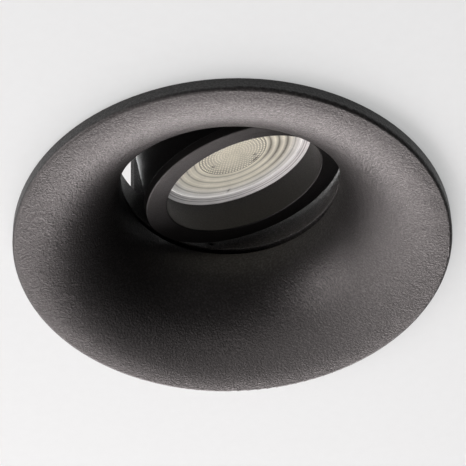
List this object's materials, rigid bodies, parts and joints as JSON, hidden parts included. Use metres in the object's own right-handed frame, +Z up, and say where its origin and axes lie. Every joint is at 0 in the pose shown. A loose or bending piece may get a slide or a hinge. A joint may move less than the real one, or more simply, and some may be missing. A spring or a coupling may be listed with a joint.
{
  "type": "soffit downlight",
  "caption": "Round recessed downlight with a deep trumpet bell, a turning carrier and a tilting spot lamp, held in a soffit board by sprung clips.",
  "frame": {"origin": "centre of the bell's rim in the plane of its top face, which rests against the underside of the soffit board", "axes": "+Z up into the soffit along the bell's axis; +X towards the right clip; the beam leans 21.6 degrees from straight down, towards 39.5 degrees from +X to +Y"},
  "size_m": [0.1648, 0.125, 0.0983],
  "materials": {
    "bell_coating": "black fine-textured powder coat",
    "carrier_coating": "black powder coat, satin",
    "head_coating": "black powder coat, satin",
    "gasket_foam": "closed-cell foam",
    "spring_steel": "drawn spring wire",
    "zinc_steel": "zinc-plated pressed steel",
    "bright_steel": "turned steel",
    "black_screw": "blackened steel",
    "pad_rubber": "soft moulded sleeve",
    "holder_ceramic": "glazed ceramic look",
    "contact_brass": "stamped brass",
    "lamp_body": "white moulded",
    "lamp_mirror": "bright metallised",
    "lamp_optic": "moulded clear lens with stepped rings",
    "led_board_white": "white solder mask",
    "led_phosphor": "yellow phosphor",
    "heat_aluminium": "pressed aluminium",
    "circuit_board": "green board",
    "lamp_pin_metal": "nickel-plated pins"
  },
  "bodies": {
    "trim": {"trim_bell": "bell_coating", "rim_gasket": "gasket_foam", "collar_ring": "carrier_coating", "carrier_snap_ring": "spring_steel", "clip_rivets": "bright_steel", "clip_bracket_left": "zinc_steel", "clip_bracket_right": "zinc_steel", "clip_pin_left": "bright_steel", "clip_pin_right": "bright_steel"},
    "carrier": {"carrier_ring": "carrier_coating", "carrier_lock_screws": "black_screw"},
    "head": {"lamp_housing": "head_coating", "pivot_screws": "bright_steel", "pivot_washers": "zinc_steel", "stop_pins": "bright_steel", "holder_stirrup": "zinc_steel", "stirrup_screws": "bright_steel", "lampholder_body": "holder_ceramic", "lampholder_cover": "zinc_steel", "lampholder_contacts": "contact_brass", "lampholder_screws": "bright_steel"},
    "front_ring": {"bezel_ring": "head_coating"},
    "lamp": {"lamp_shell": "lamp_body", "lamp_reflector": "lamp_mirror", "lamp_lens": "lamp_optic", "led_board": "led_board_white", "led_chips": "led_phosphor", "heat_spreader": "heat_aluminium", "driver_board": "circuit_board", "lamp_base": "lamp_body", "lamp_pins": "lamp_pin_metal"},
    "clip_left": {"clip_arm_left": "zinc_steel", "clip_pad_left": "pad_rubber", "clip_spring_left": "spring_steel"},
    "clip_right": {"clip_arm_right": "zinc_steel", "clip_pad_right": "pad_rubber", "clip_spring_right": "spring_steel"}
  },
  "joints": [
    {"name": "carrier_turn", "type": "hinge", "parent": "trim", "child": "carrier", "pos_m": [0, 0, 0.028], "axis": [0, 0, 1], "range_deg": [-175, 175]},
    {"name": "lamp_tilt", "type": "hinge", "parent": "carrier", "child": "head", "pos_m": [0, 0, 0.0394], "axis": [0.6361, -0.7716, 0], "range_deg": [-51.6, 8.4]},
    {"name": "front_ring_twist", "type": "hinge", "parent": "head", "child": "front_ring", "pos_m": [0, 0, 0.0394], "axis": [-0.2841, -0.2342, 0.9298], "range_deg": [0, 20]},
    {"name": "lamp_twist", "type": "hinge", "parent": "head", "child": "lamp", "pos_m": [0, 0, 0.0394], "axis": [-0.2841, -0.2342, 0.9298], "range_deg": [0, 50]},
    {"name": "clip_left_fold", "type": "hinge", "parent": "trim", "child": "clip_left", "pos_m": [-0.0505, 0, 0.01608], "axis": [0, 1, 0], "range_deg": [-20, 85], "stiffness_Nm_per_rad": 0.03, "springref_deg": -34.38, "deforming": ["clip_spring_left"]},
    {"name": "clip_right_fold", "type": "hinge", "parent": "trim", "child": "clip_right", "pos_m": [0.0505, 0, 0.01608], "axis": [0, -1, 0], "range_deg": [-20, 85], "stiffness_Nm_per_rad": 0.03, "springref_deg": -34.38, "deforming": ["clip_spring_right"]}
  ]
}
